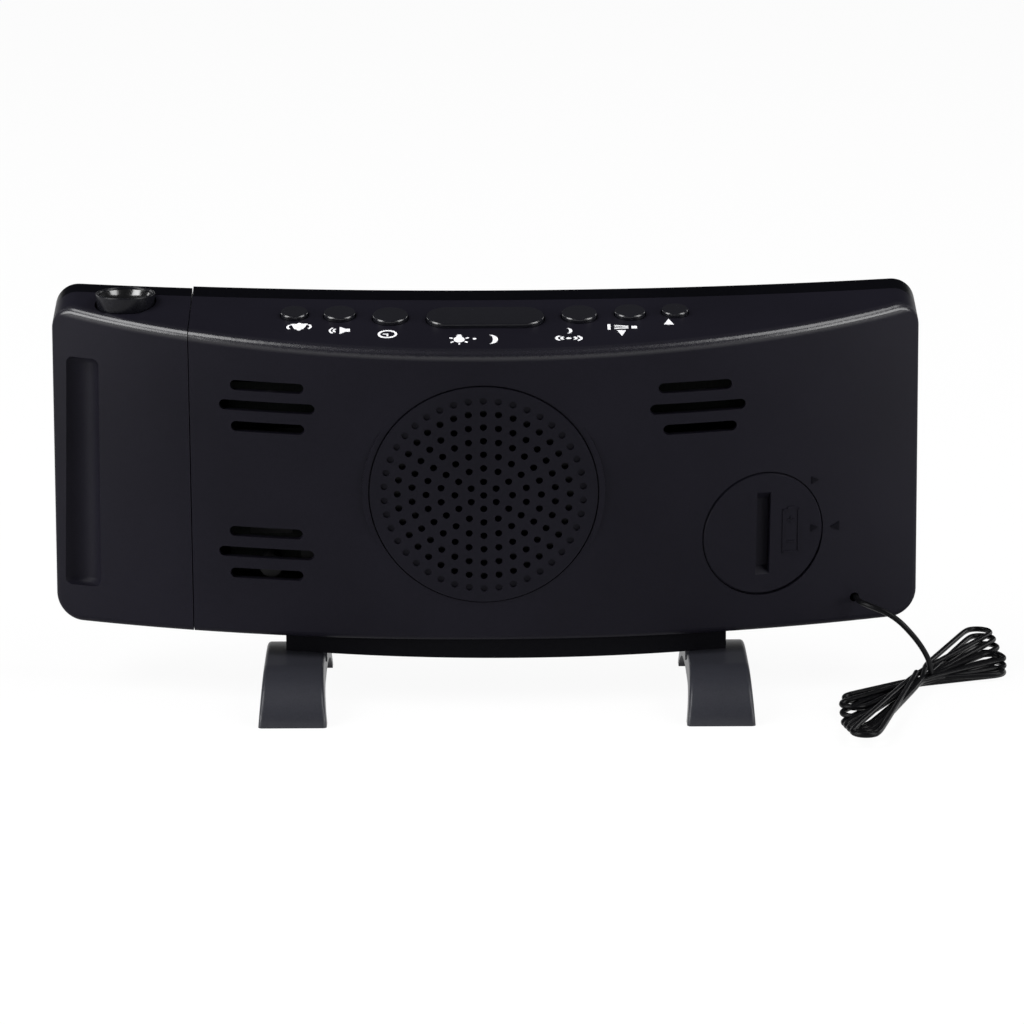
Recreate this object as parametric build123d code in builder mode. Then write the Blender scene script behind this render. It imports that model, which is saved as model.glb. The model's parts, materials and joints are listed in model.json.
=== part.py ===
from build123d import *
import math
import os

# A projection alarm clock with a curved body, seen in its own frame: +Z up, the display
# faces -Y, the floor is Z = 0 and the origin is under the middle of the object.
# All lengths are in millimetres.

# --- body shell ---
half_width = 95.0
base_z = 15.0
top_z = 87.6
crease_z = 82.0
loft_top_z = 92.0
corner_radius = 6.0
edge_radius = 1.5
wall = 2.2
front_radius = 366.0
front_y = -11.5
crease_radius = 157.0
crease_y = 19.1
under_radius = 246.0
under_y = 11.6
bezel_depth = 4.0
front_step = 0.9
deck_slope = 12.5
seam_x = 64.2
seam_gap = 0.2
joint_line = 0.15

front_axis_y = front_y - front_radius
shell_height = top_z - base_z
middle_z = (top_z + base_z) / 2
slope = math.tan(math.radians(deck_slope))

# --- display ---
lens_x = -14.25
lens_size = (149.6, 61.1)
lens_corner = 3.5
lens_inset = 0.2
lens_thickness = 1.8
lens_fit = 0.1
digit_x = -10.0
digit_block = (80.0, 36.0)
digit_offsets = (-29.0, -11.0, 11.0, 29.0)
segment_long = 10.6
segment_wide = 2.0
display_board = (100.0, 46.0)
display_front_y = -9.0
display_board_y = -5.6
board_thickness = 1.2

# --- speaker and its grille ---
speaker_x = 0.6
speaker_z = 48.7
grille_radius = 24.6
grille_proud = 0.35
grille_depth = 2.4
grille_ledge = 2.4
grille_seat = 1.1
hole_radius = 0.775
hole_pitch = 3.1
open_rings = 6
dimple_ring = 21.5
dimple_count = 42
dimple_depth = 0.45
basket_radius = 20.0

# --- battery cover and cell ---
cover_x = -60.35
cover_z = 37.1
cover_radius = 13.7
cover_clearance = 0.3
cover_sink = 0.25
cover_seat = 1.0
cover_neck = 12.15
cell_radius = 10.0
cell_height = 3.2
cell_top = 2.6
cell_fit = 0.4
well_wall = 1.3
well_floor = 1.0
contact_thickness = 0.3
lug_count = 3
lug_width = 4.8
lug_low = 3.4
lug_height = 0.85
lug_play = 0.2
cover_turn = 45
coin_slot_width = 3.2
coin_slot_length = 18.8
coin_slot_depth = 1.7

# --- vents: centre X and Z of the short slots and of the long ones between them ---
short_vents = [
    (47.1, 71.7),
    (47.1, 62.5),
    (47.8, 38.7),
    (47.8, 29.2),
    (-44.95, 71.6),
    (-46.1, 62.2),
]
long_vents = [(47.2, 67.2), (47.8, 34.0), (-45.6, 66.9)]
vent_short = 16.0
vent_long = 20.8
vent_height = 2.3

# --- keys: name, X, Y on the deck, width, depth ---
keys = [
    ("button_alarm", 41.4, -1.2, 5.9, 5.9),
    ("button_volume", 31.6, -0.3, 6.8, 6.8),
    ("button_set", 20.6, 1.4, 7.6, 7.6),
    ("snooze_bar", 0.1, 2.4, 25.4, 9.0),
    ("button_radio", -20.2, 0.8, 7.6, 7.6),
    ("button_project", -31.2, -0.5, 6.6, 6.6),
    ("button_down", -41.0, -1.7, 5.7, 5.7),
]
key_proud = 1.0
key_clearance = 0.2
key_board_height = 73.4

# --- projector pod ---
pivot_y = -7.0
pivot_z = 51.0
pivot_radius = 4.5
pivot_bore = 3.0
running_clearance = 0.05
washer_radius = 7.2
optic_x = 78.6
optic_y = -11.2
ring_radius = 6.5
ring_base_z = 84.5
ring_top_z = 87.9
barrel_radius = 4.6
head_radius = 5.75
glass_radius = 5.4
groove_low_x = 88.9
groove_high_x = 88.1
groove_low = 23.3
groove_high = 74.2
groove_radius = 5.2
groove_depth = 2.5
groove_end = 1.5
groove_wall = 1.2
lamp_size = 8.4
lamp_bore = 6.6
lamp_low = 50.0
lamp_high = 71.5

# --- stand ---
stand_x = -4.2
foot_spacing = 92.4
foot_width = 13.9
foot_thickness = 4.0
crown_z = 10.3
toe_y = 27.0
front_toe_y = -23.5
crown_rear_y = 13.0
crown_front_y = 4.0
rail_length = 96.6
rail_radius = 168.0
rail_y = 8.8
rail_front_y = -7.5

# --- power socket and aerial ---
socket_x = -72.0
socket_y = -9.6
socket_radius = 2.5
cord_radius = 0.62
cord_exit = (-80.9, -2.1, 20.7)

os.makedirs("parts", exist_ok=True)


def arc_y(middle, radius, x, inset=0):
    return middle - radius + math.sqrt((radius - inset) ** 2 - x**2)


def front_arc_y(x, inset=0):
    return front_axis_y + math.sqrt((front_radius + inset) ** 2 - x**2)


def back_y(x, z, inset=0):
    share = (z - base_z) / (crease_z - base_z)
    low = arc_y(under_y, under_radius, x, inset)
    high = arc_y(crease_y, crease_radius, x, inset)
    return low + share * (high - low)


def back_plane(x, z, depth=0):
    step = 0.01
    turn = (back_y(x + step, z) - back_y(x - step, z)) / (2 * step)
    lean = (back_y(x, z + step) - back_y(x, z - step)) / (2 * step)
    normal = Vector(-turn, 1, -lean).normalized()
    across = Vector(0, 0, 1).cross(normal).normalized()
    return Plane(Vector(x, back_y(x, z), z) - normal * depth, x_dir=across, z_dir=normal)


def deck_z(x, y):
    return top_z - (math.hypot(x, y - front_axis_y) - front_radius) * slope


deck = Plane(
    (0, 0, 0),
    x_dir=(1, 0, 0),
    z_dir=(0, math.sin(math.radians(deck_slope)), math.cos(math.radians(deck_slope))),
)


def crescent(z, inset, step):
    end = half_width - inset
    near = inset - step
    with BuildSketch(Plane.XY.offset(z)) as outline:
        with BuildLine():
            back = ThreePointArc(
                (-end, back_y(end, z, inset)), (0, back_y(0, z, inset)), (end, back_y(end, z, inset))
            )
            side = Line(back @ 1, (end, front_arc_y(end, near)))
            front = ThreePointArc(side @ 1, (0, front_arc_y(0, near)), (-end, front_arc_y(end, near)))
            Line(front @ 1, back @ 0)
        make_face()
    return outline.sketch


def deck_cutter(inset):
    spread = 20
    angle = math.radians(90 - spread)
    start = Plane(
        (0, front_axis_y, 0),
        x_dir=(math.cos(angle), math.sin(angle), 0),
        z_dir=(math.sin(angle), -math.cos(angle), 0),
    )
    near = -10
    far = 50
    with BuildPart() as cutter:
        with BuildSketch(start):
            with BuildLine():
                Polyline(
                    (front_radius + near, top_z - inset - near * slope),
                    (front_radius + far, top_z - inset - far * slope),
                    (front_radius + far, top_z + far),
                    (front_radius + near, top_z + far),
                    close=True,
                )
            make_face()
        revolve(axis=Axis((0, front_axis_y, 0), (0, 0, 1)), revolution_arc=2 * spread)
    return cutter.part


def body_block(inset, step, rounding=0):
    end = half_width - inset
    with BuildPart() as block:
        loft([crescent(base_z + inset, inset, step), crescent(loft_top_z, inset, step)], ruled=True)
        add(deck_cutter(inset), mode=Mode.SUBTRACT)
        side_edges = block.edges().filter_by(
            lambda edge: abs(abs(edge.center().X) - end) < 0.01 and abs((edge % 0.5).Y) > 0.9
        )
        fillet(side_edges, radius=corner_radius - inset)
        if rounding:
            fillet(block.faces().sort_by(Axis.Y)[-1].edges(), radius=rounding)
    return block.part


def front_zone(depth):
    with BuildPart() as zone:
        with BuildSketch(Plane.XY):
            with Locations((0, front_axis_y)):
                Circle(front_radius + depth)
        extrude(amount=loft_top_z)
    return zone.part


def side_zone(low_x, high_x):
    with BuildPart() as zone:
        with Locations(((low_x + high_x) / 2, 0, middle_z)):
            Box(high_x - low_x, 4 * half_width, 2 * shell_height)
    return zone.part


def curved_panel(x, width, height, corner, near, far):
    with BuildPart() as panel:
        with BuildSketch(Plane.XZ):
            with Locations((x, middle_z)):
                RectangleRounded(width, height, corner)
        extrude(amount=half_width, both=True)
        add(front_zone(far), mode=Mode.INTERSECT)
        add(front_zone(near), mode=Mode.SUBTRACT)
    return panel.part


def groove_cutter(grow):
    reach = groove_radius - groove_depth
    low = back_plane(groove_low_x, groove_low, -reach).origin
    high = back_plane(groove_high_x, groove_high, -reach).origin
    axis = (high - low).normalized()
    with BuildPart() as cutter:
        with BuildSketch(Plane(low - axis * grow, z_dir=axis)):
            Circle(groove_radius + grow)
        extrude(amount=(high - low).length + 2 * grow)
        fillet(cutter.edges().filter_by(GeomType.CIRCLE), radius=groove_end + grow)
    return cutter.part


def upright_cylinder(x, y, radius, low, high):
    with BuildPart() as cylinder:
        with BuildSketch(Plane.XY.offset(low)):
            with Locations((x, y)):
                Circle(radius)
        extrude(amount=high - low)
    return cylinder.part


def key_outline(width, depth, grow=0):
    if width > depth:
        SlotOverall(width + 2 * grow, depth + 2 * grow)
    else:
        Circle(width / 2 + grow)


def deck_place(x, y):
    return deck.to_local_coords(Vector(x, y, deck_z(x, y)))


def segment_outline(long, wide, rotation=0):
    Polygon(
        (-long / 2, 0),
        (-long / 2 + wide / 2, wide / 2),
        (long / 2 - wide / 2, wide / 2),
        (long / 2, 0),
        (long / 2 - wide / 2, -wide / 2),
        (-long / 2 + wide / 2, -wide / 2),
        rotation=rotation,
    )


def digit_outlines():
    reach_x = segment_long / 2 + 0.3
    reach_z = segment_long / 2 + 0.4
    for offset in digit_offsets:
        with Locations(*[(digit_x + offset, middle_z + row * 2 * reach_z) for row in (-1, 0, 1)]):
            segment_outline(segment_long, segment_wide)
        for side in (-1, 1):
            side_x = digit_x + offset + side * reach_x
            with Locations((side_x, middle_z - reach_z), (side_x, middle_z + reach_z)):
                segment_outline(segment_long, segment_wide, 90)
    with Locations((digit_x, middle_z + 5), (digit_x, middle_z - 5)):
        Circle(segment_wide / 2)


outer = body_block(0, front_step, edge_radius)
inner = body_block(wall, front_step)
pod_outer = body_block(0, 0, edge_radius)
pod_inner = body_block(wall, 0)
body_side = side_zone(-2 * half_width, seam_x - seam_gap / 2)
body_hollow = side_zone(-2 * half_width, seam_x - seam_gap / 2 - wall)
pod_side = side_zone(seam_x + seam_gap / 2, 2 * half_width)
pod_hollow = side_zone(seam_x + seam_gap / 2 + wall, 2 * half_width)
body_wall_face = seam_x - seam_gap / 2 - wall
pod_wall_face = seam_x + seam_gap / 2 + wall
frame_zone = front_zone(bezel_depth)
rear_edge = front_zone(bezel_depth + joint_line)

grille_plane = back_plane(speaker_x, speaker_z)
cover_plane = back_plane(cover_x, cover_z, cover_sink)
cell_bottom = cell_top + cell_height

# --- screws and the posts that take them ---
stand_spots = [
    (stand_x + foot_spacing / 2 - 2.5, -3.0),
    (stand_x - foot_spacing / 2 + 2.5, -3.0),
    (stand_x + 20.0, 1.0),
    (stand_x - 20.0, 1.0),
]
stand_boss_radius = 3.2
stand_boss_top = base_z + 7.0
stand_shank = 1.48
stand_hole = 1.5
stand_head = 2.8
stand_head_height = 1.7
main_board_x = 41.0
main_board_size = (30.0, 46.0)
main_board_y = -1.5
main_posts = [(main_board_x - 11.5, middle_z - 19.5), (main_board_x - 11.5, middle_z + 11.0)]
display_posts = [
    (digit_x + side * (display_board[0] / 2 - 3.5), middle_z + row * (display_board[1] / 2 - 3.5))
    for side in (-1, 1)
    for row in (-1, 1)
]
key_board_size = (98.0, 14.2)
key_board_v = -15.2
key_posts = [(-46.6, key_board_v), (46.6, key_board_v)]
key_post_length = 7.5
post_radius = 2.3
small_shank = 0.98
small_hole = 1.0
small_head = 1.9

# --- rear cover ---
with BuildPart() as rear_cover:
    add(outer)
    add(body_side, mode=Mode.INTERSECT)
    add(rear_edge, mode=Mode.SUBTRACT)
    add(inner & body_hollow, mode=Mode.SUBTRACT)
    # bosses for the stand screws
    with BuildSketch(Plane.XY.offset(base_z + wall / 2)):
        with Locations(*stand_spots):
            Circle(stand_boss_radius)
    extrude(amount=stand_boss_top - base_z - wall / 2)
    # posts for the main board, from the board to the back wall
    for post_x, post_z in main_posts:
        board_face = main_board_y + board_thickness
        with BuildSketch(Plane.XZ.offset(-board_face)):
            with Locations((post_x, post_z)):
                Circle(post_radius)
        extrude(amount=board_face - back_y(post_x, post_z) + wall / 2)
    # posts for the key board, from the board to the deck
    with BuildSketch(deck.offset(key_board_height)):
        with Locations(*key_posts):
            Circle(post_radius)
    extrude(amount=key_post_length)
    # grille seat: a ledge ring round a through opening
    with BuildSketch(grille_plane.offset(-grille_depth - wall)):
        Circle(grille_radius + 1.6)
    extrude(amount=wall + grille_seat)
    with BuildSketch(grille_plane.offset(-2 * wall - grille_depth)):
        Circle(grille_radius - grille_ledge)
    extrude(amount=20, mode=Mode.SUBTRACT)
    with BuildSketch(grille_plane.offset(-grille_depth)):
        Circle(grille_radius + cover_clearance)
    extrude(amount=20, mode=Mode.SUBTRACT)
    # battery well: a cup for the cell, a groove for the lugs and a seat for the cover
    with BuildSketch(cover_plane.offset(-cell_bottom - well_floor)):
        Circle(cover_radius + well_wall)
    extrude(amount=cell_bottom + well_floor - 1.4)
    with BuildSketch(cover_plane.offset(-cell_bottom - contact_thickness)):
        Circle(cell_radius + cell_fit)
    extrude(amount=12, mode=Mode.SUBTRACT)
    with BuildSketch(cover_plane.offset(-lug_low - lug_play)):
        Circle(cover_radius + cover_clearance)
    extrude(amount=lug_height + 2 * lug_play, mode=Mode.SUBTRACT)
    with BuildSketch(cover_plane.offset(-lug_low + lug_height)):
        Circle(cover_neck + cover_clearance)
        with PolarLocations(cover_radius / 2, lug_count, start_angle=90 + cover_turn):
            Rectangle(cover_radius, lug_width + 0.8)
        Circle(cover_radius + cover_clearance, mode=Mode.INTERSECT)
    extrude(amount=lug_low, mode=Mode.SUBTRACT)
    with BuildSketch(cover_plane.offset(-cover_seat)):
        Circle(cover_radius + cover_clearance)
    extrude(amount=4, mode=Mode.SUBTRACT)
    # vents
    with BuildSketch(Plane.XZ):
        with Locations(*short_vents):
            SlotOverall(vent_short, vent_height)
        with Locations(*long_vents):
            SlotOverall(vent_long, vent_height)
    extrude(amount=-40, mode=Mode.SUBTRACT)
    # key holes
    for name, key_x, key_y, width, depth in keys:
        spot = deck_place(key_x, key_y)
        with BuildSketch(deck.offset(spot.Z - 4)):
            with Locations((spot.X, spot.Y)):
                key_outline(width, depth, key_clearance)
        extrude(amount=8, mode=Mode.SUBTRACT)
    # pivot bore in the seam wall
    with BuildSketch(Plane.YZ.offset(seam_x - 6)):
        with Locations((pivot_y, pivot_z)):
            Circle(pivot_radius + running_clearance)
    extrude(amount=12, mode=Mode.SUBTRACT)
    # aerial hole
    with BuildSketch(Plane.XZ.offset(-cord_exit[1] + 6)):
        with Locations((cord_exit[0], cord_exit[2])):
            Circle(cord_radius + 0.4)
    extrude(amount=-16, mode=Mode.SUBTRACT)
    # power socket opening in the underside
    with BuildSketch(Plane.XY.offset(base_z - 1)):
        with Locations((socket_x, socket_y)):
            Circle(socket_radius + 0.1)
    extrude(amount=wall + 1.5, mode=Mode.SUBTRACT)
    # screw holes
    with BuildSketch(Plane.XY.offset(base_z - 1)):
        with Locations(*stand_spots):
            Circle(stand_hole)
    extrude(amount=6, mode=Mode.SUBTRACT)
    with BuildSketch(Plane.XZ.offset(-main_board_y)):
        with Locations(*main_posts):
            Circle(small_hole)
    extrude(amount=-6, mode=Mode.SUBTRACT)
    with BuildSketch(deck.offset(key_board_height - 1)):
        with Locations(*key_posts):
            Circle(small_hole)
    extrude(amount=5, mode=Mode.SUBTRACT)
rear_cover.part.label = "rear_cover"
export_step(rear_cover.part, "parts/rear_cover.step")

# --- speaker grille: a slightly proud disc, curved like the back, with a flat inner face ---
speaker_section = Plane(grille_plane.origin, x_dir=grille_plane.x_dir, z_dir=grille_plane.y_dir)
grille_sag = back_y(0, speaker_z) - back_y(grille_radius, speaker_z)


def grille_blank(proud):
    with BuildPart() as blank:
        with BuildSketch(speaker_section):
            with BuildLine():
                face = ThreePointArc(
                    (-grille_radius, grille_sag - proud), (0, -proud), (grille_radius, grille_sag - proud)
                )
                Polyline(face @ 1, (grille_radius, grille_depth), (-grille_radius, grille_depth), face @ 0)
            make_face()
        extrude(amount=grille_radius, both=True)
    return blank.part


with BuildPart() as dimples:
    with BuildSketch(grille_plane.offset(-grille_depth)):
        with PolarLocations(dimple_ring, dimple_count, start_angle=90):
            Circle(hole_radius)
    extrude(amount=8)
    add(grille_blank(grille_proud - dimple_depth), mode=Mode.SUBTRACT)

with BuildPart() as speaker_grille:
    add(grille_blank(grille_proud))
    with BuildSketch(grille_plane.offset(-grille_depth)):
        Circle(grille_radius)
    extrude(amount=8, mode=Mode.INTERSECT)
    with BuildSketch(grille_plane.offset(-grille_depth)):
        Circle(hole_radius)
        for ring in range(1, open_rings + 1):
            with PolarLocations(ring * hole_pitch, 6 * ring, start_angle=90):
                Circle(hole_radius)
    extrude(amount=8, mode=Mode.SUBTRACT)
    add(dimples.part, mode=Mode.SUBTRACT)
speaker_grille.part.label = "speaker_grille"
export_step(speaker_grille.part, "parts/speaker_grille.step")

# --- front frame: a bezel with a wide plate behind the lens ---
with BuildPart() as front_frame:
    add(outer)
    add(body_side, mode=Mode.INTERSECT)
    add(frame_zone, mode=Mode.INTERSECT)
    # room for the washer and the snap ring of the pivot
    with BuildSketch(Plane.YZ.offset(body_wall_face)):
        with Locations((pivot_y, pivot_z)):
            Circle(washer_radius + 0.4)
    extrude(amount=-6, mode=Mode.SUBTRACT)
    # posts for the display board
    with BuildSketch(Plane.XZ.offset(-display_board_y)):
        with Locations(*display_posts):
            Circle(post_radius)
    extrude(amount=6)
    add(
        curved_panel(
            lens_x,
            lens_size[0] + 2 * lens_fit,
            lens_size[1] + 2 * lens_fit,
            lens_corner,
            -5,
            lens_inset + lens_thickness - front_step,
        ),
        mode=Mode.SUBTRACT,
    )
    with BuildSketch(Plane.XZ):
        with Locations((digit_x, middle_z)):
            Rectangle(digit_block[0] + 0.4, digit_block[1] + 0.4)
    extrude(amount=40, mode=Mode.SUBTRACT)
    with BuildSketch(Plane.XZ.offset(-display_board_y)):
        with Locations(*display_posts):
            Circle(small_hole)
    extrude(amount=4, mode=Mode.SUBTRACT)
front_frame.part.label = "front_frame"
export_step(front_frame.part, "parts/front_frame.step")

with BuildPart() as front_lens:
    add(
        curved_panel(
            lens_x,
            lens_size[0],
            lens_size[1],
            lens_corner,
            lens_inset - front_step,
            lens_inset + lens_thickness - front_step,
        )
    )
front_lens.part.label = "front_lens"
export_step(front_lens.part, "parts/front_lens.step")

# --- display: reflector block, segment windows and board ---
with BuildPart() as digit_housing:
    with BuildSketch(Plane.XZ.offset(-display_board_y)):
        with Locations((digit_x, middle_z)):
            Rectangle(*digit_block)
    extrude(amount=display_board_y - display_front_y)
    with BuildSketch(Plane.XZ.offset(-display_board_y)):
        digit_outlines()
    extrude(amount=display_board_y - display_front_y, mode=Mode.SUBTRACT)
digit_housing.part.label = "digit_housing"
export_step(digit_housing.part, "parts/digit_housing.step")

with BuildPart() as digit_segments:
    with BuildSketch(Plane.XZ.offset(-display_front_y - 1.6)):
        digit_outlines()
    extrude(amount=1.5)
digit_segments.part.label = "digit_segments"
export_step(digit_segments.part, "parts/digit_segments.step")

with BuildPart() as display_circuit:
    with BuildSketch(Plane.XZ.offset(-display_board_y - board_thickness)):
        with Locations((digit_x, middle_z)):
            Rectangle(*display_board)
        with Locations(*display_posts):
            Circle(small_hole, mode=Mode.SUBTRACT)
    extrude(amount=board_thickness)
display_circuit.part.label = "display_board"
export_step(display_circuit.part, "parts/display_board.step")

# --- main board with its parts ---
main_back_y = main_board_y + board_thickness
with BuildPart() as main_circuit:
    with BuildSketch(Plane.XZ.offset(-main_back_y)):
        with Locations((main_board_x, middle_z - 4)):
            Rectangle(*main_board_size)
        with Locations(*main_posts):
            Circle(small_hole, mode=Mode.SUBTRACT)
    extrude(amount=board_thickness)
main_circuit.part.label = "main_board"
export_step(main_circuit.part, "parts/main_board.step")

with BuildPart() as board_parts:
    with BuildSketch(Plane.XZ.offset(-main_back_y)):
        with Locations((main_board_x + 4, middle_z + 4)):
            Rectangle(10, 10)
        with Locations((main_board_x + 6, middle_z - 12)):
            Rectangle(9, 5)
    extrude(amount=-1.6)
    with BuildSketch(Plane.XZ.offset(-main_back_y)):
        with Locations((main_board_x - 3, middle_z - 18), (main_board_x + 6, middle_z - 21)):
            Circle(2.5)
    extrude(amount=-5)
board_parts.part.label = "board_components"
export_step(board_parts.part, "parts/board_components.step")

# --- key board and switches under the deck ---
key_spots = [deck_place(key_x, key_y) for name, key_x, key_y, width, depth in keys]
switch_size = 4.4
switch_height = 2.0
switch_radius = 1.2
switch_plunger = 0.8
plunger_gap = 0.8

with BuildPart() as key_circuit:
    with BuildSketch(deck.offset(key_board_height - board_thickness)):
        with Locations((0, key_board_v)):
            Rectangle(*key_board_size)
        with Locations(*key_posts):
            Circle(small_hole, mode=Mode.SUBTRACT)
    extrude(amount=board_thickness)
key_circuit.part.label = "key_board"
export_step(key_circuit.part, "parts/key_board.step")

with BuildPart() as key_switches:
    with BuildSketch(deck.offset(key_board_height)):
        with Locations(*[(spot.X, spot.Y) for spot in key_spots]):
            Rectangle(switch_size, switch_size)
    extrude(amount=switch_height)
    with BuildSketch(deck.offset(key_board_height + switch_height)):
        with Locations(*[(spot.X, spot.Y) for spot in key_spots]):
            Circle(switch_radius)
    extrude(amount=switch_plunger)
key_switches.part.label = "key_switches"
export_step(key_switches.part, "parts/key_switches.step")

# --- keys: a cap, a collar that stops under the deck and a plunger ---
collar_top = 2.35
collar_height = 0.8
collar_width = 0.9
plunger_end = key_board_height + switch_height + switch_plunger + plunger_gap

for (name, key_x, key_y, width, depth), spot in zip(keys, key_spots):
    with BuildPart() as key:
        with BuildSketch(deck.offset(spot.Z - collar_top)):
            with Locations((spot.X, spot.Y)):
                key_outline(width, depth)
        extrude(amount=collar_top + key_proud)
        fillet(key.faces().sort_by(Axis.Z)[-1].edges(), radius=0.4)
        with BuildSketch(deck.offset(spot.Z - collar_top - collar_height)):
            with Locations((spot.X, spot.Y)):
                key_outline(width, depth, collar_width)
        extrude(amount=collar_height)
        with BuildSketch(deck.offset(plunger_end)):
            with Locations((spot.X, spot.Y)):
                Circle(switch_radius + 0.1)
        extrude(amount=spot.Z - collar_top - collar_height - plunger_end)
    key.part.label = name
    export_step(key.part, f"parts/{name}.step")

# --- speaker: basket, magnet, cone and dust cap, turned round the grille's axis ---
basket_depth = 7.6
magnet_radius = 12.5
magnet_top = grille_depth + basket_depth
magnet_height = 4.5
coil_radius = 5.0
cone_seat = grille_depth + 0.8
paper = 0.5
speaker_axis = Axis(grille_plane.origin, grille_plane.z_dir)

with BuildPart() as speaker_basket:
    with BuildSketch(speaker_section):
        with BuildLine():
            Polyline(
                (basket_radius, grille_depth),
                (basket_radius, grille_depth + 1.6),
                (basket_radius - 3.2, grille_depth + 1.6),
                (magnet_radius - 1.0, magnet_top),
                (coil_radius + 0.8, magnet_top),
                (coil_radius + 0.8, magnet_top - 0.8),
                (magnet_radius - 1.8, magnet_top - 0.8),
                (basket_radius - 5.6, cone_seat),
                (basket_radius - 4.4, cone_seat),
                (basket_radius - 4.4, grille_depth),
                close=True,
            )
        make_face()
    revolve(axis=speaker_axis)
    with BuildSketch(grille_plane.offset(-magnet_top + 1.2)):
        with PolarLocations(basket_radius - 6.2, 4, start_angle=45):
            RectangleRounded(5.0, 9.0, 1.0)
    extrude(amount=3.6, mode=Mode.SUBTRACT)
speaker_basket.part.label = "speaker_basket"
export_step(speaker_basket.part, "parts/speaker_basket.step")

with BuildPart() as speaker_magnet:
    with BuildSketch(grille_plane.offset(-magnet_top - magnet_height)):
        Circle(magnet_radius)
    extrude(amount=magnet_height)
    fillet(speaker_magnet.edges().filter_by(GeomType.CIRCLE), radius=0.5)
speaker_magnet.part.label = "speaker_magnet"
export_step(speaker_magnet.part, "parts/speaker_magnet.step")

cone_rim = basket_radius - 4.5
with BuildPart() as speaker_cone:
    with BuildSketch(speaker_section):
        with BuildLine():
            Polyline(
                (cone_rim, cone_seat - paper),
                (cone_rim, cone_seat),
                (cone_rim - 1.9, cone_seat),
                (coil_radius + 0.4, cone_seat + 3.5),
                (coil_radius + 0.4, magnet_top - 0.4),
                (coil_radius, magnet_top - 0.4),
                (coil_radius, cone_seat + 3.5 - paper),
                (cone_rim - 2.1, cone_seat - paper),
                close=True,
            )
        make_face()
    revolve(axis=speaker_axis)
speaker_cone.part.label = "speaker_cone"
export_step(speaker_cone.part, "parts/speaker_cone.step")

with BuildPart() as dust_cap:
    with BuildSketch(speaker_section):
        with BuildLine():
            cap_top = cone_seat + 1.2
            cap_rim = cone_seat + 3.5 - paper
            dome = TangentArc((0, cap_top), (coil_radius, cap_rim), tangent=(1, 0))
            inner_rim = (coil_radius - paper, cap_rim + paper)
            hollow = TangentArc((0, cap_top + paper), inner_rim, tangent=(1, 0))
            Polyline(dome @ 1, (coil_radius, cap_rim + paper), hollow @ 1)
            Line(hollow @ 0, dome @ 0)
        make_face()
    revolve(axis=speaker_axis)
dust_cap.part.label = "speaker_dust_cap"
export_step(dust_cap.part, "parts/speaker_dust_cap.step")

# --- battery: cover with bayonet lugs, coin cell and the two contacts ---
cover_underside = cover_seat - running_clearance
slot_section = Plane(cover_plane.origin, x_dir=cover_plane.y_dir, z_dir=cover_plane.x_dir)

with BuildPart() as battery_cover:
    with BuildSketch(cover_plane.offset(-cover_underside)):
        Circle(cover_radius)
    extrude(amount=cover_underside)
    chamfer(battery_cover.faces().sort_by(Axis.Y)[-1].edges(), length=0.3)
    with BuildSketch(cover_plane.offset(-lug_low)):
        Circle(cover_neck)
        with PolarLocations(cover_radius / 2 - 0.15, lug_count, start_angle=90):
            Rectangle(cover_radius, lug_width)
        Circle(cover_radius - 0.2, mode=Mode.INTERSECT)
    extrude(amount=lug_height)
    with BuildSketch(cover_plane.offset(-lug_low + lug_height)):
        Circle(cover_neck)
    extrude(amount=lug_low - lug_height - cover_underside)
    with BuildSketch(cover_plane.offset(-lug_low - 1)):
        Circle(cell_radius + 0.6)
    extrude(amount=lug_low + 1 - cell_top + cell_fit, mode=Mode.SUBTRACT)
    # the coin slot, with sloping ends
    with BuildSketch(slot_section):
        with BuildLine():
            Polyline(
                (coin_slot_length / 2, 0.1),
                (coin_slot_length / 2 - coin_slot_depth, -coin_slot_depth),
                (coin_slot_depth - coin_slot_length / 2, -coin_slot_depth),
                (-coin_slot_length / 2, 0.1),
                close=True,
            )
        make_face()
    extrude(amount=coin_slot_width / 2, both=True, mode=Mode.SUBTRACT)
battery_cover.part.label = "battery_cover"
export_step(battery_cover.part, "parts/battery_cover.step")

with BuildPart() as coin_cell:
    with BuildSketch(cover_plane.offset(-cell_bottom)):
        Circle(cell_radius)
    extrude(amount=cell_height)
    fillet(coin_cell.edges().filter_by(GeomType.CIRCLE), radius=0.3)
coin_cell.part.label = "coin_cell"
export_step(coin_cell.part, "parts/coin_cell.step")

with BuildPart() as contact_negative:
    with BuildSketch(cover_plane.offset(-cell_bottom - contact_thickness)):
        SlotOverall(16, 5)
    extrude(amount=contact_thickness)
contact_negative.part.label = "contact_negative"
export_step(contact_negative.part, "parts/contact_negative.step")

with BuildPart() as contact_positive:
    with BuildSketch(cover_plane.offset(-cell_bottom)):
        Circle(cell_radius + cell_fit - 0.02)
        Circle(cell_radius + 0.02, mode=Mode.SUBTRACT)
        with Locations((-cell_radius, 0)):
            Rectangle(8, 6, mode=Mode.INTERSECT)
    extrude(amount=1.5)
contact_positive.part.label = "contact_positive"
export_step(contact_positive.part, "parts/contact_positive.step")

# --- projector pod: a shell and a front tray that turn together ---
lamp_front_y = optic_y - lamp_size / 2
ring_seat_radius = ring_radius + 0.25
ring_boss_radius = ring_radius + 1.6
boss_low = ring_base_z - 2.4
sleeve_radius = 5.4
sleeve_low = ring_base_z - 5.5
lip_radius = sleeve_radius + 0.6
lip_top = boss_low - 0.1
lamp_posts = (lamp_low + 5, lamp_high - 5)

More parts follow.
